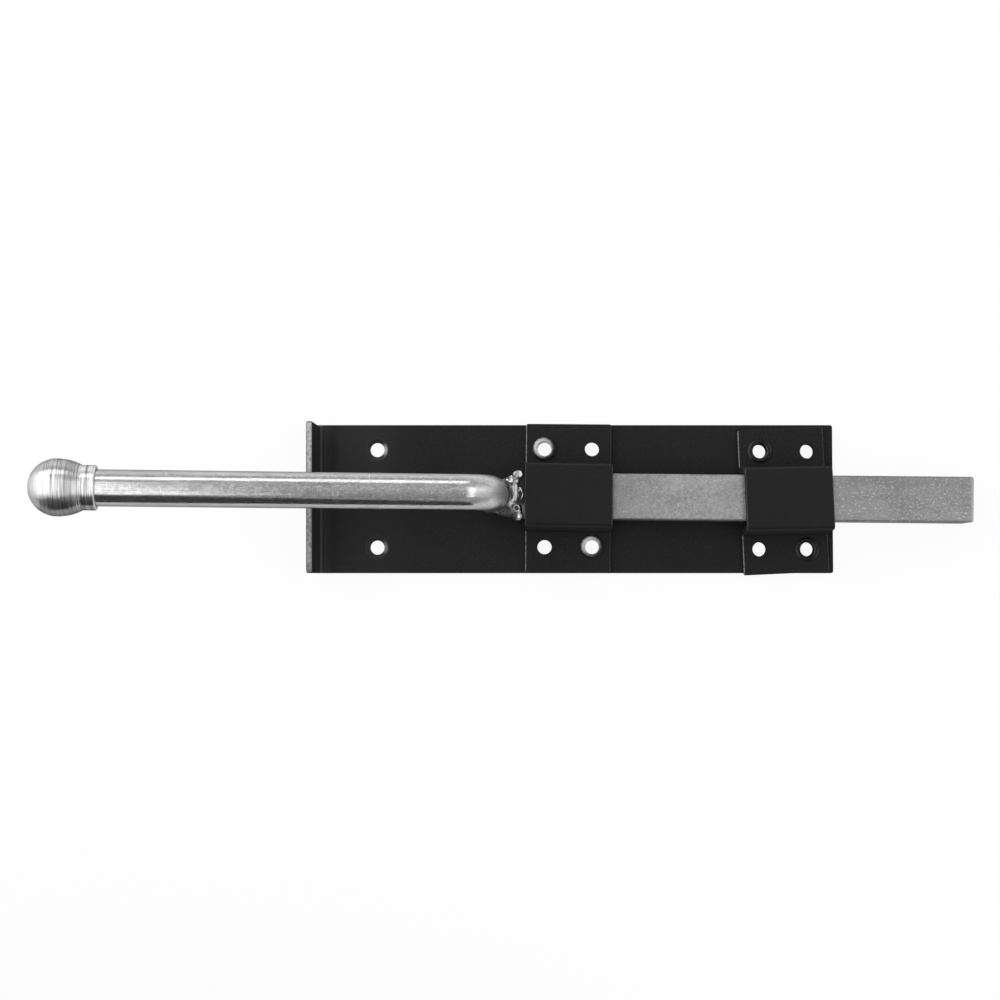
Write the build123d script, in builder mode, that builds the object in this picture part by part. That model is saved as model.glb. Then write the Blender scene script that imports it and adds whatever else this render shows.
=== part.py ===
from build123d import *
import os

# A monkey tail bolt: a square bar that slides under two strap keepers on a back plate,
# thrown and drawn by a round tail that ends in a turned knob.
# Lengths are in millimetres and angles in degrees. X runs along the throw, Y across the
# plate and Z up from the plate, with the origin in the middle of the plate's back face.

# Back plate: one pressed sheet, its tail end folded up into a lip
plate_length = 175.7
plate_width = 50.0
plate_sheet = 2.0
plate_corner = 0.8
plate_end_skew = 0.4
lip_rise = 16.0
lip_corner = 1.5
fold_inside = 1.2
edge_round = 0.45
plate_end_round = 1.1

# Keepers: straps as long as the plate is wide, folded over the bar, each a little askew
strap_sheet = 2.0
strap_width = 28.8
strap_corner = 0.8
wall_lean = 1.25
crown_round = 1.6
foot_round = 0.5
front_inset = 16.9
keeper_spacing = 72.4
rear_shift = 0.2
rear_fold_shift = 0.3
rear_turn = -0.4
rear_fold_turn = -1.1
front_trim = 1.2
front_shift = -0.75
front_fold_shift = 0.1
front_turn = 2.7
front_fold_turn = 1.0

# Fixing holes: a pair by the lip and four through each keeper
hole_radius = 2.4
hole_pitch_along = 16.0
hole_pitch_across = 33.0
lip_hole_inset = 21.9
lip_hole_shift = 0.15
rear_hole_shift = 0.3
front_hole_shift = -0.45
dish_lap = 1.3
dish_angle = 130.0

# Hollow rivets: they fill one diagonal pair of each keeper's holes
rivet_bore = 2.35
rivet_wall = 0.5
rivet_play = 0.05
rivet_rim_lap = 1.15
rivet_rim_rise = 0.8
rivet_rim_round = 0.7
rivet_flare_lap = 0.6
rivet_flare_depth = 0.7

# Sliding bar and its play under the keepers
bar_size = 15.0
bar_length = 150.4
bar_edge = 0.6
bar_end_round = 0.8
bar_stub = 2.65
under_play = 0.3
side_play = 0.95
top_play = 1.0
bolt_yaw = -0.54
bolt_shift = 0.41

# Tail: a round rod, its leg welded to the end of the bar, that rises a little towards its knob
rod_diameter = 11.6
tail_lift = 32.0
tail_length = 122.8
tail_slope = 6.0
tail_turn = 0.22
tail_offset = 0.1
elbow_inside = 3.1
rod_chamfer = 0.6

# Weld between the leg and the bar, with a bead down each corner that meets the rear keeper
weld_gap = 2.7
weld_foot_rise = 1.0
weld_crest_rise = 1.5
weld_start_width = 8.9
weld_start_shift = -1.05
bead_length = 4.0
bead_width = 2.6
bead_bulge = 0.65
bead_rise = 1.6
bead_round = 0.8
stop_play = 0.3

# Turned knob pressed on the tail's end
ball_radius = 9.1
flank_length = 7.8
collar_wall = 1.32
collar_length = 4.15
collar_round = 0.5
rod_seat = 11.0
socket_play = 0.05
socket_end_play = 0.4

# Places that follow from the sizes above
half_length = plate_length / 2
half_width = plate_width / 2
lip_top = plate_sheet + lip_rise
flange_top = plate_sheet + strap_sheet
rear_length = plate_width
front_length = plate_width - front_trim
front_x = half_length - front_inset
rear_x = front_x - keeper_spacing
lip_hole_x = -half_length + lip_hole_inset
rear_holes = (rear_x, rear_hole_shift)
front_holes = (front_x, front_hole_shift)
bar_floor = plate_sheet + under_play
bar_top = bar_floor + bar_size
bar_start = rear_x - strap_width / 2 - bar_stub
tunnel_half = bar_size / 2 + side_play
tunnel_top = bar_top + top_play
throat_half = tunnel_half + wall_lean
wall_half = tunnel_half + strap_sheet - wall_lean * strap_sheet / (tunnel_top - plate_sheet)
foot_half = wall_half + wall_lean
keeper_top = tunnel_top + strap_sheet
rivet_radius = rivet_bore + rivet_wall
rod_radius = rod_diameter / 2
leg_x = bar_start - weld_gap - rod_radius
tail_height = plate_sheet + tail_lift
elbow_radius = rod_radius + elbow_inside
collar_face = -tail_length
rod_end = collar_face - rod_seat

# The bolt lies a little askew, so its bar and weld are drawn on a plane of their own
bolt_level = Plane(Location((0, bolt_shift, 0), (0, 0, bolt_yaw)))
bolt_axis = Axis(bolt_level.origin, bolt_level.x_dir)

# The tail is drawn on an upright plane through its leg, and the knob on the same plane along the tail
leg_foot = bolt_level.from_local_coords((leg_x, tail_offset, 0))
tail_level = Plane(Location(leg_foot, (0, 0, bolt_yaw + tail_turn)))
tail_side = Plane(leg_foot, x_dir=tail_level.x_dir, z_dir=-tail_level.y_dir)
leg_start = tail_side.from_local_coords((0, bar_floor, 0))
bend = tail_side.from_local_coords((0, tail_height, 0))
tail_run = tail_side.x_dir.rotate(Axis(bend, tail_side.z_dir), -tail_slope)
knob_side = Plane(bend, x_dir=tail_run, z_dir=tail_side.z_dir)


def bolt_section(along):
    """The upright plane square to the bolt at a distance along it."""
    return Plane(
        bolt_level.from_local_coords((along, 0, 0)), x_dir=bolt_level.y_dir, z_dir=bolt_level.x_dir
    )


def diagonal(middle, rising):
    """Two opposite holes of the four in a keeper: lower left to upper right when rising."""
    along = hole_pitch_along / 2
    across = hole_pitch_across / 2 if rising else -hole_pitch_across / 2
    return [(middle[0] - along, middle[1] - across), (middle[0] + along, middle[1] + across)]


rear_rivet_spots = diagonal(rear_holes, rising=False)
front_rivet_spots = diagonal(front_holes, rising=False)
keeper_plain_spots = diagonal(rear_holes, rising=True) + diagonal(front_holes, rising=True)
lip_spots = [
    (lip_hole_x, lip_hole_shift + side * hole_pitch_across / 2, plate_sheet) for side in (-1, 1)
]

# Back plate, drawn from the side and trimmed to its outline from above
with BuildPart() as back_plate:
    with BuildSketch(Plane.XZ) as plate_side:
        with BuildLine():
            Polyline(
                (-half_length, 0),
                (half_length + plate_end_skew / 2, 0),
                (half_length + plate_end_skew / 2, plate_sheet),
                (plate_sheet - half_length, plate_sheet),
                (plate_sheet - half_length, lip_top),
                (-half_length, lip_top),
                close=True,
            )
        make_face()
        corners = plate_side.vertices().group_by(Axis.X)
        fillet(corners[0].sort_by(Axis.Y)[0], fold_inside + plate_sheet)
        fillet(corners[1].sort_by(Axis.Y)[0], fold_inside)
        fillet(corners[-1].sort_by(Axis.Y)[-1], plate_end_round)
    extrude(amount=half_width, both=True)
    with BuildSketch(Plane.XY) as plate_outline:
        with BuildLine():
            Polyline(
                (-half_length, -half_width),
                (half_length + plate_end_skew / 2, -half_width),
                (half_length - plate_end_skew / 2, half_width),
                (-half_length, half_width),
                close=True,
            )
        make_face()
        fillet(plate_outline.vertices().sort_by(Axis.X)[-2:], plate_corner)
    extrude(amount=lip_top, mode=Mode.INTERSECT)
    fillet(back_plate.edges().filter_by(Axis.X).group_by(Axis.Z)[-1], lip_corner)
    fillet(back_plate.faces().sort_by(Axis.Z)[-1].edges().filter_by(Axis.Y), edge_round)
    with Locations(*keeper_plain_spots):
        Hole(hole_radius)
    with Locations(*lip_spots):
        CounterSinkHole(hole_radius, hole_radius + dish_lap, counter_sink_angle=dish_angle)
    with Locations(*rear_rivet_spots, *front_rivet_spots):
        Hole(rivet_radius + rivet_play)
        Cone(
            rivet_radius + rivet_flare_lap + rivet_play,
            rivet_radius + rivet_play,
            rivet_flare_depth,
            align=(Align.CENTER, Align.CENTER, Align.MIN),
            mode=Mode.SUBTRACT,
        )


def make_keeper(middle, length, turn, fold_shift, fold_turn, rivet_spots):
    """A strap bent to a hat section with leaning walls, then trimmed to its outline from above."""
    x, y = middle
    level = Plane(Location((x, y + fold_shift, 0), (0, 0, fold_turn)))
    folds = Plane(level.origin, x_dir=level.y_dir, z_dir=level.x_dir)
    outline = Plane(Location((*middle, 0), (0, 0, turn)))
    reach = length / 2 + strap_width
    with BuildPart() as keeper:
        with BuildSketch(folds) as hat:
            with BuildLine():
                Polyline(
                    (-reach, plate_sheet),
                    (-reach, flange_top),
                    (-foot_half, flange_top),
                    (-wall_half, keeper_top),
                    (wall_half, keeper_top),
                    (foot_half, flange_top),
                    (reach, flange_top),
                    (reach, plate_sheet),
                    close=True,
                )
            make_face()
            inner = hat.vertices().filter_by_position(Axis.X, -foot_half, foot_half)
            fillet(inner.group_by(Axis.Y)[0], foot_round)
            fillet(hat.vertices().group_by(Axis.Y)[-1], crown_round)
        extrude(amount=strap_width, both=True)
        with BuildSketch(outline):
            RectangleRounded(strap_width, length, strap_corner)
        extrude(amount=keeper_top, mode=Mode.INTERSECT)
        upper = keeper.edges().filter_by_position(Axis.Z, flange_top - edge_round, keeper_top)
        fillet(upper - upper.filter_by(Axis(level.origin, level.x_dir)), edge_round)
        with BuildSketch(folds) as tunnel:
            with BuildLine():
                Polyline(
                    (-throat_half, plate_sheet),
                    (-tunnel_half, tunnel_top),
                    (tunnel_half, tunnel_top),
                    (throat_half, plate_sheet),
                    close=True,
                )
            make_face()
            with Locations((0, plate_sheet)):
                Rectangle(2 * reach, plate_sheet, align=(Align.CENTER, Align.MAX))
            throat = tunnel.vertices().filter_by_position(Axis.X, -throat_half, throat_half)
            fillet(throat.group_by(Axis.Y)[0], foot_round + strap_sheet)
        extrude(amount=strap_width, both=True, mode=Mode.SUBTRACT)
        with Locations(*keeper_plain_spots):
            Hole(hole_radius)
        with Locations(*rivet_spots):
            Hole(rivet_radius + rivet_play)
    return keeper


def make_rivets(spots):
    """Hollow rivets with a rolled rim on the strap and a flare sunk flush in the plate's back."""
    with BuildPart() as rivets:
        with BuildSketch(Plane.XY):
            with Locations(*spots):
                Circle(rivet_radius)
        extrude(amount=flange_top)
        with BuildSketch(Plane.XY.offset(flange_top)):
            with Locations(*spots):
                Circle(rivet_radius + rivet_rim_lap)
        extrude(amount=rivet_rim_rise)
        with Locations(*spots):
            Cone(
                rivet_radius + rivet_flare_lap,
                rivet_radius,
                rivet_flare_depth,
                align=(Align.CENTER, Align.CENTER, Align.MIN),
            )
            Hole(rivet_bore)
        fillet(rivets.edges().group_by(Axis.Z)[-1], rivet_rim_round)
    return rivets


rear_keeper = make_keeper(
    (rear_x, rear_shift), rear_length, rear_turn, rear_fold_shift, rear_fold_turn, rear_rivet_spots
)
front_keeper = make_keeper(
    (front_x, front_shift), front_length, front_turn, front_fold_shift, front_fold_turn, front_rivet_spots
)
rear_rivets = make_rivets(rear_rivet_spots)
front_rivets = make_rivets(front_rivet_spots)

# Sliding bar, square with eased edges and a rounded thrown end
with BuildPart() as bolt_bar:
    with BuildSketch(bolt_section(bar_start)):
        with Locations((0, bar_floor)):
            Rectangle(bar_size, bar_size, align=(Align.CENTER, Align.MIN))
    extrude(amount=bar_length)
    fillet(bolt_bar.edges().filter_by(bolt_axis), bar_edge)
    fillet(bolt_bar.faces().sort_by(bolt_axis)[-1].edges(), bar_end_round)

# Tail rod: up from the end of the bar, round the elbow and out over the lip
with BuildPart() as tail_rod:
    with BuildLine():
        FilletPolyline(leg_start, bend, knob_side.from_local_coords((rod_end, 0, 0)), radius=elbow_radius)
    with BuildSketch(Plane(leg_start)):
        Circle(rod_radius)
    sweep()
    chamfer(tail_rod.edges().group_by(Axis.Z)[0], rod_chamfer)
    chamfer(tail_rod.faces().sort_by(bolt_axis)[0].edges(), rod_chamfer)

# Weld: a bead on each corner of the bar's end, and the metal that flares from the leg to the bar
weld_foot = bar_floor + weld_foot_rise
weld_crest = bar_top + weld_crest_rise
bead_along = bar_start + bar_stub - stop_play - bead_length / 2
bead_across = bar_size / 2 + bead_bulge - bead_width / 2
with BuildPart() as weld_bead:
    with BuildSketch(bolt_level.offset(weld_foot)):
        with Locations((bead_along, -bead_across), (bead_along, bead_across)):
            Ellipse(bead_length / 2, bead_width / 2)
    extrude(amount=bar_top + bead_rise - weld_foot)
    fillet(weld_bead.edges().group_by(Axis.Z)[-1], bead_round)
    with BuildSketch(bolt_section(leg_x)):
        with Locations((tail_offset + weld_start_shift, weld_foot)):
            Rectangle(weld_start_width, weld_crest - weld_foot, align=(Align.CENTER, Align.MIN))
    with BuildSketch(bolt_section(bar_start)):
        with Locations((0, weld_foot)):
            Rectangle(bar_size, bar_top - weld_foot, align=(Align.CENTER, Align.MIN))
    loft()
    add(tail_rod.part, mode=Mode.SUBTRACT)
    add(bolt_bar.part, mode=Mode.SUBTRACT)

# Knob: a ball, a long flank and a collar, turned about the tail's centre line
ball_x = collar_face - collar_length - flank_length
collar_radius = rod_radius + collar_wall
socket_radius = rod_radius + socket_play
socket_floor = rod_end - socket_end_play
with BuildPart() as tail_knob:
    with BuildSketch(knob_side) as knob_half:
        with BuildLine():
            nose = (ball_x - ball_radius, 0)
            crown = (ball_x, ball_radius)
            crease = (collar_face - collar_length, collar_radius)
            TangentArc(nose, crown, tangent=(0, 1))
            TangentArc(crown, crease, tangent=(1, 0))
            Polyline(
                crease,
                (collar_face, collar_radius),
                (collar_face, socket_radius),
                (socket_floor, socket_radius),
                (socket_floor, 0),
                nose,
            )
        make_face()
        fillet(knob_half.vertices().group_by(Axis.X)[-1].sort_by(Axis.Y)[-1], collar_round)
    revolve(axis=Axis(knob_side.origin, knob_side.x_dir))

pieces = {
    "back_plate": back_plate,
    "rear_keeper": rear_keeper,
    "front_keeper": front_keeper,
    "rear_rivets": rear_rivets,
    "front_rivets": front_rivets,
    "bolt_bar": bolt_bar,
    "tail_rod": tail_rod,
    "weld_bead": weld_bead,
    "tail_knob": tail_knob,
}
os.makedirs("parts", exist_ok=True)
for name, piece in pieces.items():
    piece.part.label = name
    export_step(piece.part, f"parts/{name}.step")
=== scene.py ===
import math

import bmesh
import bpy
import numpy as np
from mathutils import Matrix, Vector, noise


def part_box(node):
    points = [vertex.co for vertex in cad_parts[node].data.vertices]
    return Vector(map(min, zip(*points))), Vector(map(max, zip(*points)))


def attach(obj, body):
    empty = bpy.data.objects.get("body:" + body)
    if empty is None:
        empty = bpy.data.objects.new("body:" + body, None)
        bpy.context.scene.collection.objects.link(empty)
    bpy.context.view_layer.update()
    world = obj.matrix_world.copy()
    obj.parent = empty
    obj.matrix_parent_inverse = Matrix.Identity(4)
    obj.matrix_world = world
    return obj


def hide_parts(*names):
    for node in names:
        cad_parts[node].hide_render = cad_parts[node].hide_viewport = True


# Looks of a monkey tail bolt: black painted plate and keepers, zinc plated bar, tail, weld and knob.
# Lengths are in metres unless a name ends in _mm. X runs along the throw, Y across and Z up.
# A name that ends in _tone is a grey level. A pair of places, or of facings, is where a change begins
# and where it is complete.

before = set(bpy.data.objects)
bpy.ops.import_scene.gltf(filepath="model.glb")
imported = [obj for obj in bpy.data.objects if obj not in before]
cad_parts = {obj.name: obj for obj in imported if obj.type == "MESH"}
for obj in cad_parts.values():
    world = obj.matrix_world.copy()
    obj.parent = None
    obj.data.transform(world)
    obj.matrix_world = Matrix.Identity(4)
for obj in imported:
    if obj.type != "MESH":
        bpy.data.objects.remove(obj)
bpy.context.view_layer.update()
mm = 0.001

# The bolt's own frame, a little askew on the plate
bolt_yaw = math.radians(-0.54)
bolt_shift_mm = 0.41
bolt_frame = Matrix.Translation((0, bolt_shift_mm * mm, 0)) @ Matrix.Rotation(bolt_yaw, 4, "Z")

# The tail's own frame: X along the tail towards the throw, from the middle of its bend
tail_start = (-0.026998, 0.0007645, 0.034)
tail_yaw = math.radians(-0.32)
tail_slope = math.radians(6.0)
tail_turn = Matrix.Rotation(tail_yaw, 4, "Z") @ Matrix.Rotation(tail_slope, 4, "Y")
tail_frame = Matrix.Translation(tail_start) @ tail_turn

# Knob, turned about the tail's centre line
collar_face_mm = -122.8
collar_length_mm = 4.15
collar_radius_mm = 7.12
collar_round_mm = 0.5
collar_round_steps = 9
flank_length_mm = 7.8
ball_radius_mm = 9.1
socket_radius_mm = 5.85
socket_floor_mm = -134.2
knob_step_mm = 0.09
knob_segments = 168
knob_inset_mm = 0.02
knob_sharp_angle = math.radians(50)

# Tool marks on the knob. Layers: spacing, depth. The wobble leaves the knob very slightly three sided.
ring_seed = 11
ring_span_mm = (-150.0, -115.0)
ring_start_mm = -141.2
ring_full_mm = -138.2
ring_end_mm = -126.9
ring_fade_mm = 0.2
ring_margin_mm = 0.1
ring_slack_mm = 0.01
ring_layers = ((0.32, 0.026), (0.55, 0.030), (1.0, 0.016))
collar_ring_share = 0.35
wobble_mm = 0.006
wobble_waves = 3
wobble_start = 0.7

# Weld metal in the bolt's frame. Beads: middle, radii, turn. Marks: middle, radii, rise, rim, painted
# tone (above zero painted shade, below zero a painted highlight).
weld_voxel = 0.15 * mm
weld_relax = 26
weld_relax_factor = 0.5
weld_lump_detail = 4
weld_wave_mm = 0.10
weld_wave_rate = 0.40
mark_sharpness = 1.4
mark_rim_at = 1.25
mark_rim_sharpness = 3.2
mark_tone_gain = 1.8
weld_lumps_mm = (
    ((-21.4, 4.7, 17.4), (1.3, 0.45, 0.8), -34.0),
    ((-19.2, 4.9, 16.8), (2.5, 1.8, 1.5), 42.0),
    ((-18.9, 5.9, 17.2), (2.0, 1.1, 1.5), 50.0),
    ((-19.4, 1.0, 16.6), (1.9, 4.6, 1.5), 0.0),
    ((-17.0, 1.55, 17.2), (0.42, 1.40, 0.9), 23.0),
    ((-16.83, -0.6, 17.2), (0.38, 1.20, 0.9), -19.0),
    ((-18.6, -4.2, 16.9), (1.9, 1.9, 1.4), 0.0),
    ((-17.7, -6.0, 17.2), (1.2, 1.9, 1.5), 0.0),
)
weld_marks_mm = (
    ((-18.6, -4.2, 18.2), (0.75, 0.75, 2.0), -0.9, 0.22, 1.0),
    ((-17.05, 0.7, 17.9), (0.60, 2.6, 2.0), 0.0, 0.0, -1.0),
    ((-22.0, 1.0, 16.0), (1.9, 5.5, 20.0), 0.0, 0.0, 1.0),
    ((-22.6, -5.2, 16.0), (3.4, 2.4, 20.0), 0.0, 0.0, 1.0),
    ((-20.2, -6.8, 16.0), (2.6, 1.3, 20.0), 0.0, 0.0, 1.0),
    ((-22.2, 5.7, 16.0), (1.6, 1.0, 20.0), 0.0, 0.0, 1.0),
    ((-18.4, -2.4, 17.8), (1.6, 0.6, 2.0), -0.15, 0.0, 0.8),
    ((-20.1, 5.6, 17.8), (0.9, 0.9, 20.0), -0.10, 0.0, 0.35),
    ((-20.0, 7.7, 18.0), (1.0, 1.2, 20.0), -0.15, 0.0, 0.45),
    ((-19.0, 7.4, 18.0), (0.9, 1.3, 20.0), 0.0, 0.0, 0.45),
    ((-17.35, 6.8, 18.5), (0.45, 1.6, 20.0), 0.08, 0.0, -0.9),
    ((-19.4, -7.3, 18.0), (1.3, 1.5, 20.0), -0.45, 0.0, 1.0),
    ((-16.7, -7.0, 18.0), (0.7, 1.8, 20.0), 0.0, 0.0, 0.5),
    ((-17.75, -7.2, 18.5), (0.38, 1.0, 20.0), 0.08, 0.0, -0.9),
    ((-21.7, 5.05, 17.8), (0.50, 0.30, 20.0), 0.05, 0.0, -0.9),
    ((-21.1, 4.65, 17.8), (0.50, 0.32, 20.0), 0.05, 0.0, -0.9),
    ((-20.5, 4.25, 17.8), (0.50, 0.32, 20.0), 0.05, 0.0, -0.9),
)

# Black paint: the coat, with a paler band over the plate near the lip, stronger on the far side
paint_low_tone = 0.0062
paint_high_tone = 0.0095
dust_tone = 0.036
dusty_z = (0.012, 0.018)
pale_band_tone = 0.016
pale_band_in_x = (-0.0825, -0.0780)
pale_band_out_x = (-0.052, -0.068)
pale_band_y = (-0.008, 0.012)
# Painted light: upright sides paler than the flats
upright_light_tone = 0.026
upright_facing = (0.65, 0.25)

# Black paint: painted highlights on edges, brighter on the plate and keepers than on the front rivets
plate_edge_highlight_tone = 0.21
rivet_edge_highlight_tone = 0.055
far_edge_highlight_tone = 0.055
edge_facing = (0.16, 0.42)
edge_past_lip_x = (-0.0869, -0.0866)
edge_low_z = (0.006, 0.014)
edge_past_hole = (0.004, 0.006)

# Black paint: painted light in the fold before the lip, and a painted highlight along its crease
fold_light_tone = 0.034
fold_x = (-0.0800, -0.0846)
fold_z = (0.012, 0.005)
crease_highlight_tone = 0.08
crease_in_x = (-0.08535, -0.08510)
crease_out_x = (-0.08435, -0.08475)

# Black paint: middles of the screw holes by the lip, with a painted reflection over their dishes and a
# painted highlight where a dish faces the tail
lip_holes = ((-0.06595, 0.01665), (-0.06595, -0.01635))
dish_reflection_tone = 0.024
dish_reach = (0.0043, 0.0038)
rim_near_highlight_tone = 0.22
rim_far_highlight_tone = 0.42
rim_reach = (0.0039, 0.0028)
rim_facing = (0.28, 0.46)
far_side_y = (-0.010, 0.010)

# Black paint: a painted highlight in patches along the lip's top
lip_near_highlight_tone = 0.27
lip_far_highlight_tone = 0.42
lip_top_z = (0.01735, 0.01775)
lip_outer_x = (-0.08775, -0.08745)
lip_inner_x = (-0.0858, -0.0862)
lip_end_y = (0.0256, 0.0246)

# Rear rivets: middles of their bare patches, a little off the rivets' own
rivet_patches = ((-0.00995, 0.01725), (0.00605, -0.01575))
rivet_bare_reach = (0.0043, 0.0027)
rivet_ragged = 0.0008
rivet_steel_low_tone = 0.50
rivet_steel_high_tone = 0.66
rivet_black_tone = 0.014

# Zinc reflects less at a glancing angle than a plain metal
zinc_edge_tint = 0.35

# Zinc on the bar, with places along and across it in millimetres
bar_low_tone = 0.22
bar_high_tone = 0.37
# Painted shade on the bar past the plate and beside the rear keeper
bar_past_plate_shade_tone = 0.21
bar_keeper_shade_tone = 0.20
bar_pit_tone = 0.14
bar_grain_tone = 0.15
bar_patch_tone = 0.40
bar_drawn_tone = 0.26
bar_shade_tone = 0.20
bar_fleck_tone = 0.52
bar_end_tone = 0.50
bar_end_shade_tone = 0.03
past_plate_mm = (78.0, 92.0)
shade_along_mm = (92.0, 128.0)
shade_across_mm = (-6.0, 5.0)
keeper_shade_along_mm = (34.0, 18.0)
# Painted shade across the bar past the plate
shade_line_in_mm = (3.6, 5.4)
shade_line_out_mm = (7.0, 5.6)
near_side_mm = (-4.2, -6.6)
bar_end_mm = (130.6, 131.6)
end_shade_along_mm = (-14.6, -15.4)
end_shade_across_mm = (-2.0, -3.4)

# Zinc on the tail
tail_low_tone = 0.52
tail_high_tone = 0.64
tail_drawn_tone = 0.36
tail_grain_tone = 0.34
tail_speck_tone = 0.76
# Painted dark reflection and painted shade on the tail
tail_dark_reflection_tone = 0.34
tail_nick_tone = 0.86
tail_under_shade_tone = 0.26
tail_heated_tone = 0.15
tail_top_facing = (0.50, 0.80)
tail_grain_x = (-0.130, -0.090)
tail_speck_x = (-0.130, -0.100)
tail_band_x = (-0.105, -0.075)
tail_band_in_facing = (0.15, -0.22)
tail_band_out_facing = (-0.44, -0.34)
tail_under_facing = (-0.70, -0.95)
bend_smooth_x = (-0.037, -0.033)
bend_dull_x = (-0.0322, -0.0300)
heated_x = (-0.030, -0.026)
heated_facing = (0.60, 0.95)

# Zinc on the knob
knob_low_tone = 0.60
knob_high_tone = 0.70
# Painted dark reflection in a ring and painted highlight over the collar
knob_ring_reflection_tone = 0.38
knob_flank_highlight_tone = 0.90
knob_speck_tone = 0.50
knob_cut_tone = 0.29
# Painted shade on the underside
knob_under_shade_tone = 0.16
knob_ring_in_x = (-0.1576, -0.1566)
knob_ring_out_x = (-0.1541, -0.1551)
knob_flank_x = (-0.1536, -0.1524)
knob_cut_x = (-0.1665, -0.1640)
knob_under_facing = (-0.58, -0.80)
knob_brushed = 0.85
knob_brushed_turn = 0.25

# Zinc on the weld
weld_low_tone = 0.40
weld_high_tone = 0.48
# Painted shade and painted highlight on the weld
weld_shade_tone = 0.030
weld_highlight_tone = 0.80

# Stage
floor_reach = 12.0
floor_level = -0.0002
floor_tone = 0.82
floor_glow_share = 0.92
world_low = 0.38
world_high = 0.58
world_fall = (-0.75, 0.10)
flag_tone = 0.06
flag_corners = ((-0.42, -0.2, 0.0), (0.02, -0.2, 0.0), (0.02, -0.2, 0.09), (-0.42, -0.2, 0.46))

# Lamps: name, place, target, width, height, brightness, roll in degrees
mostly_across = 0.7
softboxes = (
    ("left_box", (-0.690, -0.18, 0.764), (-0.019, -0.18, 0.022), 1.45, 1.80, 1.5, 5.0),
    ("left_far_box", (-0.95, 0.92, 0.66), (-0.16, 0, 0.05), 0.9, 0.7, 1.5, 0.0),
    ("far_strip", (-0.665, 1.08, 0.62), (-0.665, 0, 0.03), 1.83, 0.36, 1.75, 0.0),
    ("right_box", (0.52, -0.10, 1.12), (0.0, -0.1, 0.03), 0.36, 1.5, 1.6, 0.0),
    ("right_fill", (1.15, 0.0, 0.68), (0.0, 0, 0.03), 1.0, 1.6, 0.55, 0.0),
)

# Camera: its frame is 337.7 mm wide at a distance of 590 mm
camera_sensor_mm = 36.0
camera_distance_mm = 590.0
camera_width_mm = 337.7
camera_shift_x = -0.046
camera_shift_y = 0.080
camera_place = (-0.00895, -0.02730, 0.592)


def smoothstep(low, high, value):
    """A smooth rise from 0 at low to 1 at high."""
    t = np.clip((value - low) / (high - low), 0.0, 1.0)
    return t * t * (3 - 2 * t)


def new_piece(name, mesh, body):
    """Link a mesh as an object that rides on a body."""
    piece = bpy.data.objects.new(name, mesh)
    bpy.context.scene.collection.objects.link(piece)
    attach(piece, body)
    return piece


# Materials

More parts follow.
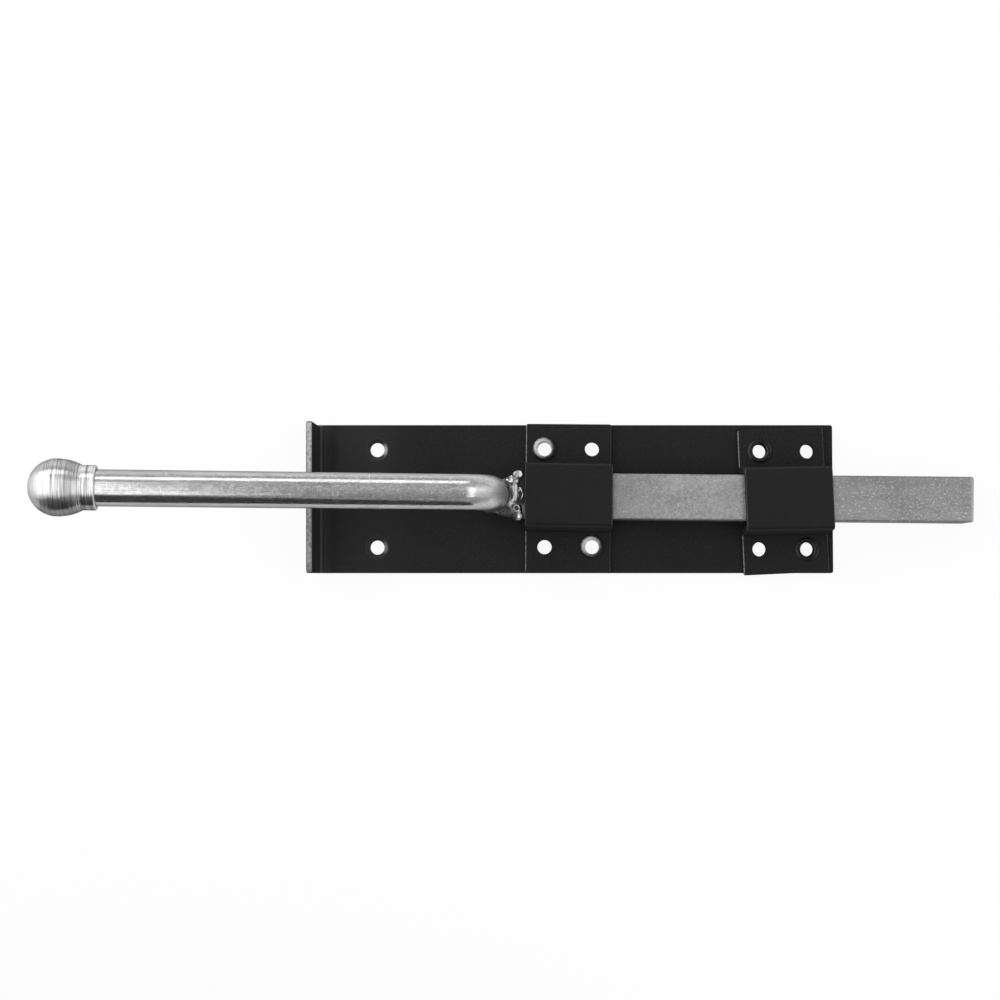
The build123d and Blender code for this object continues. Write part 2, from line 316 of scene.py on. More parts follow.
class Surface:
    """A material under construction: a principled shader and short helpers for its nodes."""

    def __init__(self, name):
        self.material = bpy.data.materials.new(name)
        self.material.use_nodes = True
        self.tree = self.material.node_tree
        self.shader = self.tree.nodes["Principled BSDF"]
        self.coords = self.tree.nodes.new("ShaderNodeTexCoord").outputs["Object"]

    def put(self, socket, value):
        """Link an output to a socket, or set a plain value on it."""
        if isinstance(value, bpy.types.NodeSocket):
            self.tree.links.new(value, socket)
        else:
            socket.default_value = value

    def measured(self, lengths_mm, turn=(0.0, 0.0, 0.0)):
        """Object coordinates turned back and counted in steps of a length on each axis."""
        node = self.tree.nodes.new("ShaderNodeMapping")
        node.vector_type = "TEXTURE"
        node.inputs["Rotation"].default_value = turn
        node.inputs["Scale"].default_value = [length * mm for length in lengths_mm]
        self.put(node.inputs["Vector"], self.coords)
        return node.outputs["Vector"]

    def even(self, length_mm):
        """Object coordinates counted in steps of one length."""
        return self.measured((length_mm, length_mm, length_mm))

    def noise(self, vector, detail=2.0, roughness=0.5):
        """Smooth noise from 0 to 1."""
        node = self.tree.nodes.new("ShaderNodeTexNoise")
        self.put(node.inputs["Vector"], vector)
        node.inputs["Scale"].default_value = 1.0
        node.inputs["Detail"].default_value = detail
        node.inputs["Roughness"].default_value = roughness
        return node.outputs["Fac"]

    def grade(self, value, low, high, start=0.0, end=1.0):
        """Map a range of values to another, without going past its ends."""
        node = self.tree.nodes.new("ShaderNodeMapRange")
        node.interpolation_type = "SMOOTHSTEP"
        self.put(node.inputs["Value"], value)
        node.inputs["From Min"].default_value = low
        node.inputs["From Max"].default_value = high
        node.inputs["To Min"].default_value = start
        node.inputs["To Max"].default_value = end
        return node.outputs["Result"]

    def math(self, operation, first, second):
        """One sum of two values."""
        node = self.tree.nodes.new("ShaderNodeMath")
        node.operation = operation
        self.put(node.inputs[0], first)
        self.put(node.inputs[1], second)
        return node.outputs[0]

    def times(self, first, second):
        """The product of two values."""
        return self.math("MULTIPLY", first, second)

    def blend(self, share, first, second):
        """Mix two colours by a share."""
        node = self.tree.nodes.new("ShaderNodeMix")
        node.data_type = "RGBA"
        self.put(node.inputs["Factor"], share)
        self.put(node.inputs["A"], first)
        self.put(node.inputs["B"], second)
        return node.outputs["Result"]

    def part(self, vector, axis):
        """One axis of a vector."""
        node = self.tree.nodes.new("ShaderNodeSeparateXYZ")
        self.put(node.inputs[0], vector)
        return node.outputs[axis]

    def place(self, axis):
        """One of the object coordinates."""
        return self.part(self.coords, axis)

    def away(self, middle):
        """Distance in metres from an upright line through a point of the plate."""
        spread = []
        for axis, at in zip("XY", middle):
            offset = self.math("SUBTRACT", self.place(axis), at)
            spread.append(self.times(offset, offset))
        return self.math("SQRT", self.math("ADD", *spread), 0.0)

    def nearest(self, middles):
        """Distance in metres from the nearer of two upright lines."""
        return self.math("MINIMUM", self.away(middles[0]), self.away(middles[1]))

    def facing(self, axis):
        """How far the surface faces along one axis."""
        node = self.tree.nodes.new("ShaderNodeNewGeometry")
        return self.part(node.outputs["Normal"], axis)

    def painted_value(self, name):
        """A value kept at the mesh's points."""
        node = self.tree.nodes.new("ShaderNodeAttribute")
        node.attribute_name = name
        return node.outputs["Fac"]

    def bump(self, height, depth_mm, below=None):
        """Raise the surface by a height from 0 to 1 times a depth."""
        node = self.tree.nodes.new("ShaderNodeBump")
        node.inputs["Strength"].default_value = 1.0
        node.inputs["Distance"].default_value = depth_mm * mm
        self.put(node.inputs["Height"], height)
        if below is not None:
            self.put(node.inputs["Normal"], below)
        return node.outputs["Normal"]

    def finish(self, colour, roughness, normal, metallic=0.0, edge=1.0):
        """Set the shader's main sockets and give the material back."""
        self.put(self.shader.inputs["Base Color"], colour)
        self.put(self.shader.inputs["Roughness"], roughness)
        self.put(self.shader.inputs["Normal"], normal)
        self.shader.inputs["Metallic"].default_value = metallic
        self.shader.inputs["Specular Tint"].default_value = grey(edge)
        return self.material


def grey(level):
    """A neutral colour with full cover."""
    return (level, level, level, 1.0)


def paint_coat(s, upright):
    """The coat itself: faint clouds, dust, a paler band near the lip and painted light on upright
    sides.
    """
    clouds = s.noise(s.even(17.0), 3.0)
    paint = s.blend(clouds, grey(paint_low_tone), grey(paint_high_tone))
    dust = s.grade(s.noise(s.even(0.38), 2.0, 0.6), 0.58, 0.74, 0.0, 0.70)
    dust = s.times(dust, s.grade(s.place("Z"), *dusty_z, 1.0, 0.55))
    paint = s.blend(dust, paint, grey(dust_tone))
    pale_band = s.times(s.grade(s.place("X"), *pale_band_in_x), s.grade(s.place("X"), *pale_band_out_x))
    pale_band = s.times(pale_band, s.grade(s.place("Y"), *pale_band_y, 0.45, 1.0))
    paint = s.blend(pale_band, paint, grey(pale_band_tone))
    # Painted light on the upright sides
    return s.blend(s.times(upright, 0.9), paint, grey(upright_light_tone))


def painted_edge_highlights(s, paint, edge_highlight_tone, to_tail, near_hole):
    """Painted highlights where edges round over: brighter on edges that face the tail, fainter on edges
    that face the head.
    """
    edge = s.grade(s.times(s.facing("Z"), to_tail), *edge_facing)
    edge = s.times(edge, s.grade(s.place("X"), *edge_past_lip_x))
    edge = s.times(edge, s.grade(s.place("Z"), *edge_low_z, 1.0, 0.2))
    highlight_breakup = s.grade(s.noise(s.even(1.3), 3.0, 0.6), 0.30, 0.60, 0.35, 1.0)
    # Painted highlight on edges that face the tail, broken up by noise
    paint = s.blend(s.times(edge, highlight_breakup), paint, grey(edge_highlight_tone))
    to_head = s.math("MAXIMUM", s.facing("X"), 0.0)
    far_edge = s.grade(s.times(s.facing("Z"), to_head), *edge_facing, 0.0, 0.8)
    far_edge = s.times(far_edge, s.grade(near_hole, *edge_past_hole))
    # Fainter painted highlight on edges that face the head
    return s.blend(s.times(far_edge, highlight_breakup), paint, grey(far_edge_highlight_tone))


def painted_fold_light(s, paint):
    """Painted light in the fold before the lip, with a painted highlight along its crease."""
    low = s.grade(s.place("Z"), *fold_z)
    in_fold = s.times(s.grade(s.place("X"), *fold_x, 0.0, 0.8), low)
    # Painted light in the fold
    paint = s.blend(in_fold, paint, grey(fold_light_tone))
    crease = s.times(s.grade(s.place("X"), *crease_in_x), s.grade(s.place("X"), *crease_out_x))
    # Painted highlight along the crease
    return s.blend(s.times(s.times(crease, low), 0.8), paint, grey(crease_highlight_tone))


def painted_dish_highlights(s, paint, to_tail, near_hole):
    """The dished holes by the lip: a painted reflection over each dish, and a painted highlight where a
    dish faces the tail, brighter on the far side.
    """
    # Painted reflection over each dish
    paint = s.blend(s.grade(near_hole, *dish_reach, 0.0, 0.8), paint, grey(dish_reflection_tone))
    # Painted highlight on the dish slope that faces the tail
    dished = s.times(s.grade(near_hole, *rim_reach), s.grade(to_tail, *rim_facing))
    rim = s.blend(s.grade(s.place("Y"), *far_side_y), grey(rim_near_highlight_tone), grey(rim_far_highlight_tone))
    return s.blend(dished, paint, rim)


def painted_lip_highlight(s, paint):
    """A painted highlight in patches along the lip's top, brighter on the far side."""
    high = s.grade(s.place("Z"), *lip_top_z)
    inside = s.grade(s.place("X"), *lip_outer_x)
    patches = s.grade(s.noise(s.even(1.1), 4.0, 0.65), 0.34, 0.58, 0.5, 1.0)
    # Painted highlight along the lip's top
    lip_highlight = s.times(s.times(high, inside), patches)
    lip_highlight = s.times(lip_highlight, s.grade(s.place("X"), *lip_inner_x))
    lip_highlight = s.times(lip_highlight, s.grade(s.place("Y"), *lip_end_y))
    bright_patch = s.blend(s.grade(s.place("Y"), *far_side_y), grey(lip_near_highlight_tone), grey(lip_far_highlight_tone))
    return s.blend(lip_highlight, paint, bright_patch)


def make_black_paint(name, edge_highlight_tone):
    """Semi-gloss black paint with orange peel and a paler band near the lip, painted highlights on
    edges, dishes and the lip's top, and painted light in the fold and on upright sides.
    """
    s = Surface(name)
    upright = s.grade(s.facing("Z"), *upright_facing)
    to_tail = s.math("MAXIMUM", s.times(s.facing("X"), -1.0), 0.0)
    near_hole = s.nearest(lip_holes)
    paint = paint_coat(s, upright)
    paint = painted_edge_highlights(s, paint, edge_highlight_tone, to_tail, near_hole)
    paint = painted_fold_light(s, paint)
    paint = painted_dish_highlights(s, paint, to_tail, near_hole)
    colour = painted_lip_highlight(s, paint)
    sheen = s.grade(s.noise(s.even(2.4), 3.0), 0.3, 0.7, 0.38, 0.48)
    peel = s.bump(s.noise(s.even(0.7), 2.0), 0.010)
    fine = s.bump(s.noise(s.even(0.24), 1.0), 0.003, peel)
    s.put(s.shader.inputs["Specular IOR Level"], s.grade(upright, 0.0, 1.0, 0.12, 0.0))
    return s.finish(colour, sheen, fine)


def make_bare_rivet():
    """Rolled rivet steel, bright at the bore and still black with paint outside."""
    s = Surface("bare_rivet")
    ragged = s.times(s.noise(s.even(1.2), 3.0, 0.6), rivet_ragged)
    bright_patch = s.grade(s.math("ADD", s.nearest(rivet_patches), ragged), *rivet_bare_reach)
    tone_marks = s.grade(s.noise(s.even(0.9), 3.0, 0.6), 0.35, 0.7)
    steel = s.blend(tone_marks, grey(rivet_steel_low_tone), grey(rivet_steel_high_tone))
    colour = s.blend(s.math("POWER", bright_patch, 1.6), grey(rivet_black_tone), steel)
    shine = s.grade(s.noise(s.even(0.7), 2.0), 0.3, 0.7, 0.45, 0.55)
    dents = s.bump(s.noise(s.even(1.0), 2.0), 0.02)
    s.shader.inputs["Specular IOR Level"].default_value = 0.12
    return s.finish(colour, shine, dents, 0.25)


def shaded_and_pitted_bar(s, tone, along, across, past_plate, patches):
    """Painted shade past the plate, darker on the far side and nearer the front keeper, painted shade
    beside the rear keeper, and pits.
    """
    # Painted shade past the plate
    uneven = s.grade(across, *shade_across_mm, 0.50, 1.0)
    uneven = s.times(uneven, s.grade(along, *shade_along_mm, 0.95, 0.40))
    tone = s.blend(s.times(past_plate, uneven), tone, grey(bar_past_plate_shade_tone))
    # Painted shade beside the rear keeper, in patches
    keeper_shade = s.times(s.grade(along, *keeper_shade_along_mm), s.grade(patches, 0.40, 0.60, 0.55, 0.80))
    tone = s.blend(keeper_shade, tone, grey(bar_keeper_shade_tone))
    pits = s.grade(s.noise(s.even(0.9), 2.0, 0.6), 0.58, 0.70)
    return s.blend(s.times(s.times(past_plate, pits), 0.5), tone, grey(bar_pit_tone))


def shaded_bar(s, tone, across, past_plate):
    """Painted shade past the plate: a dark line by the far edge and a darker near side."""
    line = s.times(s.grade(across, *shade_line_in_mm), s.grade(across, *shade_line_out_mm))
    near_side = s.times(s.grade(across, *near_side_mm), 0.7)
    shade = s.times(past_plate, s.math("MAXIMUM", line, near_side))
    return s.blend(s.times(shade, 0.50), tone, grey(bar_shade_tone))


def bar_ends(s, tone, along, across):
    """The bright edge of the thrown end, and painted shade on the end between the weld and the rear
    keeper.
    """
    tone = s.blend(s.grade(along, *bar_end_mm, 0.0, 0.7), tone, grey(bar_end_tone))
    # Painted shade on the bar's end by the weld and the rear keeper
    end_shade = s.times(s.grade(along, *end_shade_along_mm), s.grade(across, *end_shade_across_mm, 1.0, 0.45))
    return s.blend(end_shade, tone, grey(bar_end_shade_tone))


def make_zinc_bar():
    """Dull zinc plating on drawn bar: grain, pits, bright flecks and draw lines, with painted shade
    past the plate, beside the rear keeper and on the welded end.
    """
    s = Surface("zinc_bar")
    level = (0.0, 0.0, bolt_yaw)
    mottle = s.noise(s.even(1.5), 4.0, 0.7)
    grain = s.noise(s.even(0.62), 2.0, 0.6)
    patches = s.noise(s.measured((10.0, 4.0, 4.0), level), 2.0)
    flecks = s.grade(s.noise(s.measured((0.9, 0.62, 0.62), level), 2.0, 0.65), 0.56, 0.70)
    drawn = s.noise(s.measured((45.0, 0.5, 0.5), level), 2.0)
    along = s.part(s.measured((1.0, 1.0, 1.0), level), "X")
    across = s.part(s.measured((1.0, 1.0, 1.0), level), "Y")
    past_plate = s.grade(along, *past_plate_mm)
    coarse = s.math("ADD", s.times(past_plate, 0.25), 0.45)
    tone = s.blend(s.grade(mottle, 0.3, 0.7), grey(bar_low_tone), grey(bar_high_tone))
    tone = shaded_and_pitted_bar(s, tone, along, across, past_plate, patches)
    tone = s.blend(s.times(s.grade(grain, 0.3, 0.7), coarse), tone, grey(bar_grain_tone))
    tone = s.blend(s.grade(patches, 0.35, 0.65, 0.0, 0.22), tone, grey(bar_patch_tone))
    tone = s.blend(s.grade(drawn, 0.50, 0.70, 0.0, 0.22), tone, grey(bar_drawn_tone))
    tone = shaded_bar(s, tone, across, past_plate)
    tone = s.blend(s.times(flecks, coarse), tone, grey(bar_fleck_tone))
    tone = bar_ends(s, tone, along, across)
    dull = s.grade(mottle, 0.3, 0.7, 0.42, 0.54)
    grit = s.bump(grain, 0.020)
    return s.finish(tone, dull, s.bump(mottle, 0.025, grit), 1.0, zinc_edge_tint)


def grained_tail(s, tone, level):
    """Fine grain and bright specks on the upper side, weaker by the knob and on the smooth bend."""
    on_top = s.grade(s.facing("Z"), *tail_top_facing, 0.15, 1.0)
    on_top = s.times(on_top, s.grade(s.place("X"), *bend_smooth_x, 1.0, 0.25))
    to_bend = s.grade(s.place("X"), *tail_grain_x, 0.28, 0.66)
    to_bend = s.times(to_bend, s.grade(s.place("X"), *bend_smooth_x, 1.0, 0.15))
    fine = s.noise(s.measured((1.3, 0.36, 0.36), level), 1.0)
    grain = s.times(s.grade(fine, 0.35, 0.65), s.times(on_top, to_bend))
    tone = s.blend(grain, tone, grey(tail_grain_tone))
    specks = s.grade(s.noise(s.measured((1.8, 0.6, 0.6), level), 3.0, 0.65), 0.52, 0.70)
    speckled = s.times(on_top, s.grade(s.place("X"), *tail_speck_x, 0.40, 0.65))
    return s.blend(s.times(specks, speckled), tone, grey(tail_speck_tone))


def shaded_and_nicked_tail(s, tone, level):
    """A painted dark reflection along the near half, bright nicks across the rod, and painted shade on
    the underside.
    """
    # Painted dark reflection along the near half
    dark_reflection = s.grade(s.facing("Y"), *tail_band_in_facing)
    dark_reflection = s.times(dark_reflection, s.grade(s.facing("Y"), *tail_band_out_facing))
    dark_reflection = s.times(dark_reflection, s.grade(s.place("X"), *tail_band_x, 0.0, 0.50))
    tone = s.blend(dark_reflection, tone, grey(tail_dark_reflection_tone))
    nicks = s.grade(s.noise(s.measured((0.4, 2.0, 2.0), level), 1.0, 0.5), 0.64, 0.76)
    tone = s.blend(s.times(nicks, 0.6), tone, grey(tail_nick_tone))
    # Painted shade on the underside
    shaded_side = s.grade(s.facing("Y"), *tail_under_facing, 0.0, 0.45)
    return s.blend(shaded_side, tone, grey(tail_under_shade_tone))


def make_zinc_tail():
    """Bright zinc plating on drawn rod, with a smooth bend and a leg left matt by the weld's heat."""
    s = Surface("zinc_tail")
    level = (0.0, tail_slope, tail_yaw)
    drawn = s.noise(s.measured((24.0, 0.5, 0.5), level), 3.0, 0.65)
    clouds = s.noise(s.measured((6.0, 2.2, 2.2), level), 3.0)
    tone = s.blend(s.grade(clouds, 0.3, 0.7), grey(tail_low_tone), grey(tail_high_tone))
    tone = s.blend(s.grade(drawn, 0.50, 0.68, 0.0, 0.60), tone, grey(tail_drawn_tone))
    tone = grained_tail(s, tone, level)
    tone = shaded_and_nicked_tail(s, tone, level)
    heated = s.times(s.grade(s.facing("X"), *heated_facing), s.grade(s.place("X"), *heated_x))
    tone = s.blend(heated, tone, grey(tail_heated_tone))
    s.put(s.shader.inputs["Metallic"], s.grade(heated, 0.0, 1.0, 1.0, 0.15))
    shine = s.grade(s.noise(s.even(2.0), 4.0, 0.65), 0.35, 0.7, 0.16, 0.24)
    shine = s.math("ADD", shine, s.times(heated, 0.35))
    shine = s.math("ADD", shine, s.grade(s.place("X"), *bend_dull_x, 0.0, 0.12))
    waves = s.bump(s.noise(s.measured((5.0, 2.4, 2.4), level), 2.0), 0.014)
    lines = s.bump(drawn, 0.003, waves)
    grit = s.bump(s.noise(s.even(0.6), 3.0, 0.6), 0.004, lines)
    return s.finish(tone, shine, grit, 1.0, zinc_edge_tint)


def brush_round(s):
    """Stretch the highlights of a turned surface, as the tool marks round it do."""
    round_about = s.tree.nodes.new("ShaderNodeTangent")
    round_about.direction_type = "RADIAL"
    round_about.axis = "X"
    s.put(s.shader.inputs["Tangent"], round_about.outputs["Tangent"])
    s.shader.inputs["Anisotropic"].default_value = knob_brushed
    s.shader.inputs["Anisotropic Rotation"].default_value = knob_brushed_turn


def make_zinc_knob():
    """Bright zinc plating on the turned knob: fine tool marks, a painted dark reflection in a ring, a
    painted highlight from the flank's end over the collar, and painted shade on the underside.
    """
    s = Surface("zinc_knob")
    level = (0.0, tail_slope, tail_yaw)
    marks = s.noise(s.measured((0.36, 16.0, 16.0), level), 2.0)
    specks = s.grade(s.noise(s.even(0.6), 3.0, 0.65), 0.54, 0.72)
    clouds = s.noise(s.even(4.0), 3.0)
    tone = s.blend(clouds, grey(knob_low_tone), grey(knob_high_tone))
    along = s.place("X")
    # Painted dark reflection in a ring
    dark_ring_reflection = s.times(s.grade(along, *knob_ring_in_x), s.grade(along, *knob_ring_out_x))
    tone = s.blend(s.times(dark_ring_reflection, 0.7), tone, grey(knob_ring_reflection_tone))
    # Painted highlight from the flank's end over the collar
    tone = s.blend(s.grade(along, *knob_flank_x, 0.0, 0.9), tone, grey(knob_flank_highlight_tone))
    tone = s.blend(s.times(specks, 0.4), tone, grey(knob_speck_tone))
    cut = s.times(s.grade(marks, 0.50, 0.60), s.grade(along, *knob_cut_x, 0.10, 0.85))
    tone = s.blend(cut, tone, grey(knob_cut_tone))
    # Painted shade on the underside
    shaded_side = s.grade(s.facing("Y"), *knob_under_facing, 0.0, 0.70)
    tone = s.blend(shaded_side, tone, grey(knob_under_shade_tone))
    shine = s.grade(s.noise(s.even(1.6), 3.0), 0.3, 0.7, 0.30, 0.36)
    lines = s.bump(marks, 0.010)
    grit = s.bump(s.noise(s.even(0.6), 3.0), 0.004, lines)
    brush_round(s)
    return s.finish(tone, shine, grit, 1.0, zinc_edge_tint)


def make_zinc_weld():
    """Plated weld metal, with painted highlights on the beads and painted shade in the hollows and on
    parts of the beads.
    """
    s = Surface("zinc_weld")
    clouds = s.noise(s.even(2.0), 2.0)
    tone = s.blend(clouds, grey(weld_low_tone), grey(weld_high_tone))
    # Painted shade and painted highlights kept at the weld's points
    tone_marks = s.painted_value("tone_marks")
    ragged = s.grade(s.noise(s.even(0.8), 3.0), 0.3, 0.7, 0.85, 1.0)
    dark = s.times(s.grade(tone_marks, 0.0, 1.0), ragged)
    tone = s.blend(dark, tone, grey(weld_shade_tone))
    tone = s.blend(s.grade(tone_marks, 0.0, -0.8), tone, grey(weld_highlight_tone))
    shine = s.grade(s.noise(s.even(1.0), 3.0), 0.3, 0.7, 0.26, 0.34)
    ripples = s.bump(s.noise(s.even(1.2), 2.0), 0.015)
    s.shader.inputs["Specular IOR Level"].default_value = 0.15
    s.put(s.shader.inputs["Metallic"], s.grade(dark, 0.2, 0.9, 1.0, 0.0))
    return s.finish(tone, shine, ripples, 1.0, zinc_edge_tint)


def dress(name, material):
    """Give a CAD node its material."""
    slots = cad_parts[name].data.materials
    slots.clear()
    slots.append(material)


# Knob

def ring_noise(along_mm):
    """Height of the tool marks at each place along the knob, in millimetres."""
    rng = np.random.default_rng(ring_seed)
    height = np.zeros_like(along_mm)
    for spacing, depth in ring_layers:
        spots = np.arange(*ring_span_mm, spacing)
        values = rng.uniform(-1.0, 1.0, len(spots))
        cell = np.clip(np.searchsorted(spots, along_mm) - 1, 0, len(spots) - 2)
        share = smoothstep(0.0, 1.0, (along_mm - spots[cell]) / spacing)
        height += depth * (values[cell] * (1 - share) + values[cell + 1] * share)
    return height


def collar_profile():
    """Points along and out from the centre line: the collar, its rounded edge and the socket."""
    run = np.linspace(0.0, collar_length_mm - collar_round_mm, int(collar_length_mm / knob_step_mm))[1:]
    points = [(collar_face_mm - collar_length_mm + step, collar_radius_mm) for step in run]
    turn = np.linspace(0.0, math.pi / 2, collar_round_steps)[1:]
    corner_x = collar_face_mm - collar_round_mm
    corner_y = collar_radius_mm - collar_round_mm
    points += zip(corner_x + collar_round_mm * np.sin(turn), corner_y + collar_round_mm * np.cos(turn))
    points.append((collar_face_mm, socket_radius_mm))
    points.append((socket_floor_mm, socket_radius_mm))
    points.append((socket_floor_mm, 0.0))
    return points


def knob_profile():
    """Points along and out from the tail's centre line, from the nose round to the socket's floor."""
    ball_x = collar_face_mm - collar_length_mm - flank_length_mm
    drop = ball_radius_mm - collar_radius_mm
    flank_radius = (flank_length_mm ** 2 + drop ** 2) / (2 * drop)
    flank_angle = math.asin(flank_length_mm / flank_radius)
    count = int(ball_radius_mm * math.pi / 2 / knob_step_mm)
    turn = np.linspace(0.0, math.pi / 2, count)
    points = list(zip(ball_x - ball_radius_mm * np.cos(turn), ball_radius_mm * np.sin(turn)))
    turn = np.linspace(0.0, flank_angle, int(flank_length_mm / knob_step_mm))[1:]
    flank_y = ball_radius_mm - flank_radius
    points += zip(ball_x + flank_radius * np.sin(turn), flank_y + flank_radius * np.cos(turn))
    return np.array(points + collar_profile())


def mark_rings(points):
    """Sink the tool marks into the turned part of the profile."""
    along, out = points[:, 0], points[:, 1]
    share = smoothstep(ring_start_mm, ring_full_mm, along)
    collar = smoothstep(ring_end_mm - ring_fade_mm, ring_end_mm + ring_fade_mm, along)
    share = share * (1 - (1 - collar_ring_share) * collar)
    outside = out > collar_radius_mm - ring_slack_mm
    outside &= along < collar_face_mm - collar_round_mm - ring_margin_mm
    marks = ring_noise(along)
    sunk = share * (marks - marks.max()) * outside
    return np.column_stack((along, np.maximum(out + sunk, 0.0)))


def turned_points(points):
    """The points of the knob's rings about the centre line, then its nose and its socket's floor."""
    turn = np.linspace(0.0, 2 * math.pi, knob_segments, endpoint=False)
    rings = points[1:-1]
    along = np.repeat(rings[:, 0], knob_segments)
    wobble = wobble_mm * np.sin(wobble_waves * turn + wobble_start) - wobble_mm
    outside = rings[:, 1] > socket_radius_mm
    out = (rings[:, 1][:, None] + wobble[None, :] * outside[:, None]).ravel()
    angle = np.tile(turn, len(rings))
    verts = np.column_stack((along, out * np.cos(angle), out * np.sin(angle)))
    nose = (points[0, 0] + knob_inset_mm, 0.0, 0.0)
    floor = (points[-1, 0], 0.0, 0.0)
    return np.vstack((verts, nose, floor)) * mm


def turned_faces(ring_count):
    """Faces between neighbouring rings, and fans that close the nose and the socket's floor."""
    faces = []
    for ring in range(ring_count - 1):
        for step in range(knob_segments):
            a = ring * knob_segments + step
            b = ring * knob_segments + (step + 1) % knob_segments
            faces.append((a, a + knob_segments, b + knob_segments, b))
    nose = ring_count * knob_segments
    last = (ring_count - 1) * knob_segments
    for step in range(knob_segments):
        after = (step + 1) % knob_segments
        faces.append((nose, step, after))
        faces.append((nose + 1, last + after, last + step))
    return faces


def make_knob():
    """The knob as one closed turned surface with real tool marks."""
    points = mark_rings(knob_profile())
    verts = turned_points(points)
    mesh = bpy.data.meshes.new("tail_knob_turned")
    mesh.from_pydata([tuple(v) for v in verts], [], turned_faces(len(points) - 2))
    mesh.transform(tail_frame)
    mesh.shade_smooth()
    mesh.set_sharp_from_angle(angle=knob_sharp_angle)
    return mesh


# Weld

def add_lump(work, middle, radii, turn):
    """Add one ellipsoid of weld metal to a mesh under work, in the bolt's frame."""
    place = bolt_frame @ Matrix.Translation(Vector(middle) * mm)
    place = place @ Matrix.Rotation(math.radians(turn), 4, "Z")
    shape = place @ Matrix.Diagonal((radii[0] * mm, radii[1] * mm, radii[2] * mm, 1.0))
    bmesh.ops.create_icosphere(work, subdivisions=weld_lump_detail, radius=1.0, matrix=shape)


def rough_weld():
    """The CAD weld and its beads, still as overlapping closed shapes."""
    work = bmesh.new()
    work.from_mesh(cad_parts["weld_bead"].data)
    for middle, radii, turn in weld_lumps_mm:
        add_lump(work, middle, radii, turn)
    rough = bpy.data.meshes.new("weld_rough")
    work.to_mesh(rough)
    work.free()
    return rough


def make_weld():
    """Weld metal grown from the CAD weld: beads, a blow hole and a hollow before the keeper."""
    carrier = bpy.data.objects.new("weld_carrier", rough_weld())
    bpy.context.scene.collection.objects.link(carrier)
    remesh = carrier.modifiers.new("remesh", "REMESH")
    remesh.mode = "VOXEL"
    remesh.voxel_size = weld_voxel
    relax = carrier.modifiers.new("relax", "SMOOTH")
    relax.factor = weld_relax_factor
    relax.iterations = weld_relax
    graph = bpy.context.evaluated_depsgraph_get()
    mesh = bpy.data.meshes.new_from_object(carrier.evaluated_get(graph))
    mesh.name = "weld_metal"
    bpy.data.objects.remove(carrier)
    sculpt_weld(mesh)
    mesh.shade_smooth()
    return mesh


def mesh_values(mesh, name):
    """A vector kept at each point of a mesh, as rows."""
    values = np.zeros(len(mesh.vertices) * 3)
    mesh.vertices.foreach_get(name, values)
    return values.reshape(-1, 3)


def sculpt_weld(mesh):
    """Move the weld's points along their normals into waves, pits and rims, and keep painted shade and
    painted highlights at the points.
    """
    place = mesh_values(mesh, "co")
    normal = mesh_values(mesh, "normal")
    back = np.array(bolt_frame.inverted())
    local = (place @ back[:3, :3].T + back[:3, 3]) / mm
    move = weld_wave_mm * np.array([noise.noise(Vector(p) * weld_wave_rate) for p in local])
    tone_marks = np.zeros(len(local))
    for middle, radii, rise, rim, dark in weld_marks_mm:
        away = np.linalg.norm((local - np.array(middle)) / np.array(radii), axis=1)
        core = np.exp(-(away * mark_sharpness) ** 2)
        move += rise * core + rim * np.exp(-((away - mark_rim_at) * mark_rim_sharpness) ** 2)
        share = np.clip(core * mark_tone_gain, 0.0, 1.0)
        tone_marks = tone_marks * (1 - share) + dark * share
    place = place + normal * (move * mm)[:, None]
    low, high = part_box("weld_bead")
    place = np.clip(place, np.array(low), np.array(high))
    mesh.vertices.foreach_set("co", place.ravel())
    mesh.attributes.new("tone_marks", "FLOAT", "POINT").data.foreach_set("value", tone_marks)
    mesh.update()


# Stage, light and camera

def floor_glow(nodes, links):
    """How much of the floor glows: a set share where it is seen or reflected, and none elsewhere."""
    path = nodes.new("ShaderNodeLightPath")
    seen = nodes.new("ShaderNodeMath")
    seen.operation = "MAXIMUM"
    links.new(path.outputs["Is Camera Ray"], seen.inputs[0])
    links.new(path.outputs["Is Glossy Ray"], seen.inputs[1])
    through = nodes.new("ShaderNodeMath")
    through.operation = "MAXIMUM"
    links.new(seen.outputs[0], through.inputs[0])
    links.new(path.outputs["Is Transmission Ray"], through.inputs[1])
    share = nodes.new("ShaderNodeMath")
    share.operation = "MULTIPLY"
    links.new(through.outputs[0], share.inputs[0])
    share.inputs[1].default_value = floor_glow_share
    return share.outputs[0]


def floor_material():
    """White that glows where it is seen, over a matt pale ground that keeps a soft shadow."""
    material = bpy.data.materials.new("floor_white")
    material.use_nodes = True
    nodes, links = material.node_tree.nodes, material.node_tree.links
    nodes.clear()
    matte = nodes.new("ShaderNodeBsdfDiffuse")
    matte.inputs["Color"].default_value = grey(floor_tone)
    glow = nodes.new("ShaderNodeEmission")
    glow.inputs["Color"].default_value = grey(1.0)
    glow.inputs["Strength"].default_value = 1.0
    mix = nodes.new("ShaderNodeMixShader")
    links.new(floor_glow(nodes, links), mix.inputs["Fac"])
    links.new(matte.outputs[0], mix.inputs[1])
    links.new(glow.outputs[0], mix.inputs[2])
    out = nodes.new("ShaderNodeOutputMaterial")
    links.new(mix.outputs[0], out.inputs["Surface"])
    return material


def make_floor():
    """A wide pale floor that reads white and keeps a soft shadow."""
    mesh = bpy.data.meshes.new("floor")
    corners = []
    for side_x, side_y in ((-1, -1), (1, -1), (1, 1), (-1, 1)):
        corners.append((side_x * floor_reach, side_y * floor_reach, floor_level))
    mesh.from_pydata(corners, [], [(0, 1, 2, 3)])
    floor = bpy.data.objects.new("floor", mesh)
    bpy.context.scene.collection.objects.link(floor)
    mesh.materials.append(floor_material())


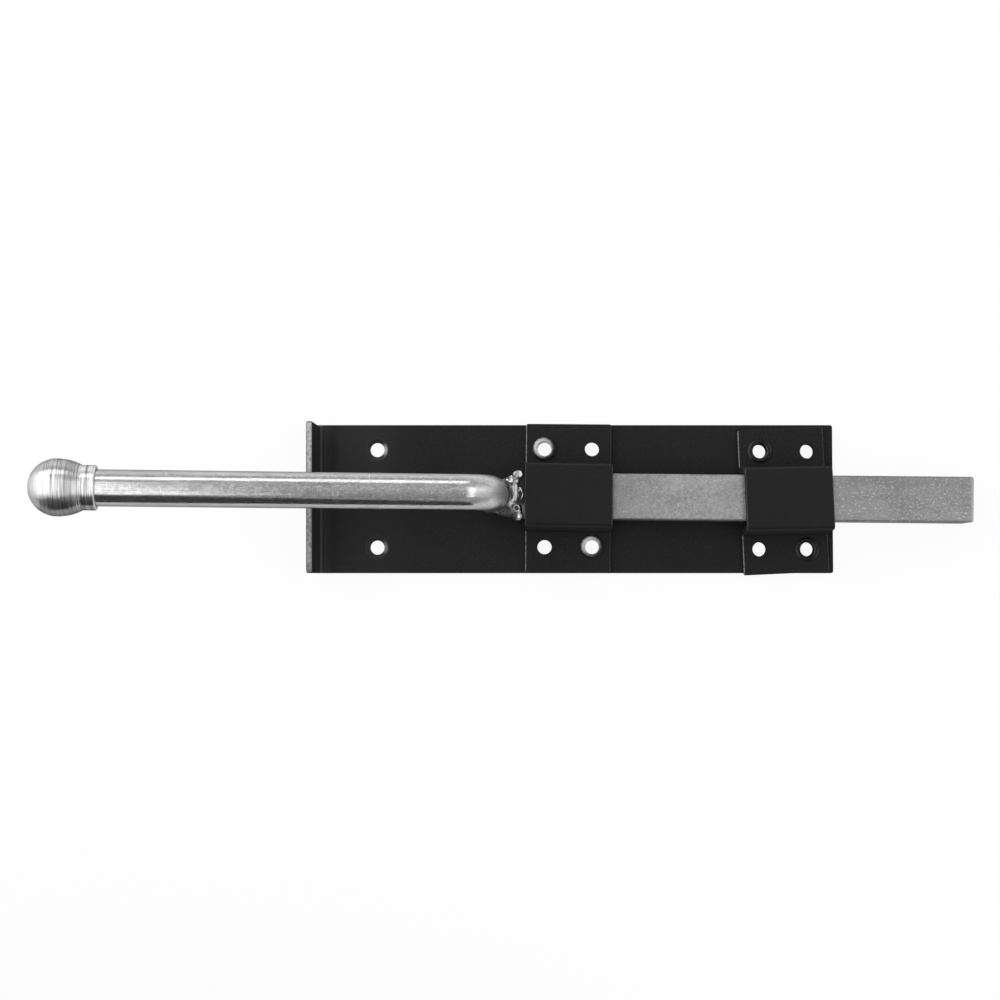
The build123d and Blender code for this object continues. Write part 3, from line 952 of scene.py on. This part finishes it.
def add_softbox(name, place, target, width, height, brightness, roll):
    """An area lamp of a given surface brightness, facing a point, its width along X where it can be."""
    lamp = bpy.data.lights.new(name, "AREA")
    lamp.shape = "RECTANGLE"
    lamp.size = width
    lamp.size_y = height
    lamp.energy = brightness * math.pi * width * height
    holder = bpy.data.objects.new(name, lamp)
    holder.location = place
    back = (Vector(place) - Vector(target)).normalized()
    side = Vector((0, 1, 0)).cross(back).normalized()
    if abs(back.y) > mostly_across:
        side = Vector((1, 0, 0))
    up = back.cross(side)
    turn = Matrix((side, up, back)).transposed() @ Matrix.Rotation(math.radians(roll), 3, "Z")
    holder.rotation_euler = turn.to_euler()
    bpy.context.scene.collection.objects.link(holder)


def add_flag():
    """A dark card on the near side, unseen by the camera, that shapes the reflections in the metal."""
    mesh = bpy.data.meshes.new("flag")
    mesh.from_pydata(flag_corners, [], [(0, 1, 2, 3)])
    flag = bpy.data.objects.new("flag", mesh)
    bpy.context.scene.collection.objects.link(flag)
    material = bpy.data.materials.new("flag_felt")
    material.use_nodes = True
    shader = material.node_tree.nodes["Principled BSDF"]
    shader.inputs["Base Color"].default_value = grey(flag_tone)
    shader.inputs["Roughness"].default_value = 1.0
    shader.inputs["Specular IOR Level"].default_value = 0.0
    mesh.materials.append(material)
    flag.visible_camera = False


def make_world():
    """Soft grey light from all round, dimmer towards the near side."""
    world = bpy.data.worlds.new("studio")
    world.use_nodes = True
    nodes, links = world.node_tree.nodes, world.node_tree.links
    ways = nodes.new("ShaderNodeTexCoord")
    apart = nodes.new("ShaderNodeSeparateXYZ")
    links.new(ways.outputs["Generated"], apart.inputs[0])
    fall = nodes.new("ShaderNodeMapRange")
    fall.interpolation_type = "SMOOTHSTEP"
    links.new(apart.outputs["Y"], fall.inputs["Value"])
    fall.inputs["From Min"].default_value = world_fall[0]
    fall.inputs["From Max"].default_value = world_fall[1]
    fall.inputs["To Min"].default_value = world_low
    fall.inputs["To Max"].default_value = world_high
    links.new(fall.outputs["Result"], nodes["Background"].inputs["Strength"])
    nodes["Background"].inputs["Color"].default_value = grey(1.0)
    bpy.context.scene.world = world


def make_camera():
    """Straight down on the bolt, with the frame's centre shifted as in the photograph."""
    camera = bpy.data.cameras.new("camera")
    camera.sensor_width = camera_sensor_mm
    camera.lens = camera_sensor_mm * camera_distance_mm / camera_width_mm
    camera.shift_x = camera_shift_x
    camera.shift_y = camera_shift_y
    holder = bpy.data.objects.new("camera", camera)
    holder.location = camera_place
    bpy.context.scene.collection.objects.link(holder)
    bpy.context.scene.camera = holder


black_paint = make_black_paint("black_paint", plate_edge_highlight_tone)
rivet_paint = make_black_paint("rivet_paint", rivet_edge_highlight_tone)
bare_rivet = make_bare_rivet()
zinc_bar = make_zinc_bar()
zinc_tail = make_zinc_tail()
zinc_knob = make_zinc_knob()
zinc_weld = make_zinc_weld()
for node in ("back_plate", "rear_keeper", "front_keeper"):
    dress(node, black_paint)
dress("front_rivets", rivet_paint)
dress("rear_rivets", bare_rivet)
dress("bolt_bar", zinc_bar)
dress("tail_rod", zinc_tail)
dress("tail_knob", zinc_knob)
dress("weld_bead", zinc_weld)

knob = new_piece("tail_knob_turned", make_knob(), "bolt")
knob.data.materials.append(zinc_knob)
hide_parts("tail_knob")

weld = new_piece("weld_metal", make_weld(), "bolt")
weld.data.materials.clear()
weld.data.materials.append(zinc_weld)
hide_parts("weld_bead")

make_floor()
add_flag()
make_world()
for softbox in softboxes:
    add_softbox(*softbox)
make_camera()
bpy.context.scene.view_settings.view_transform = "Standard"
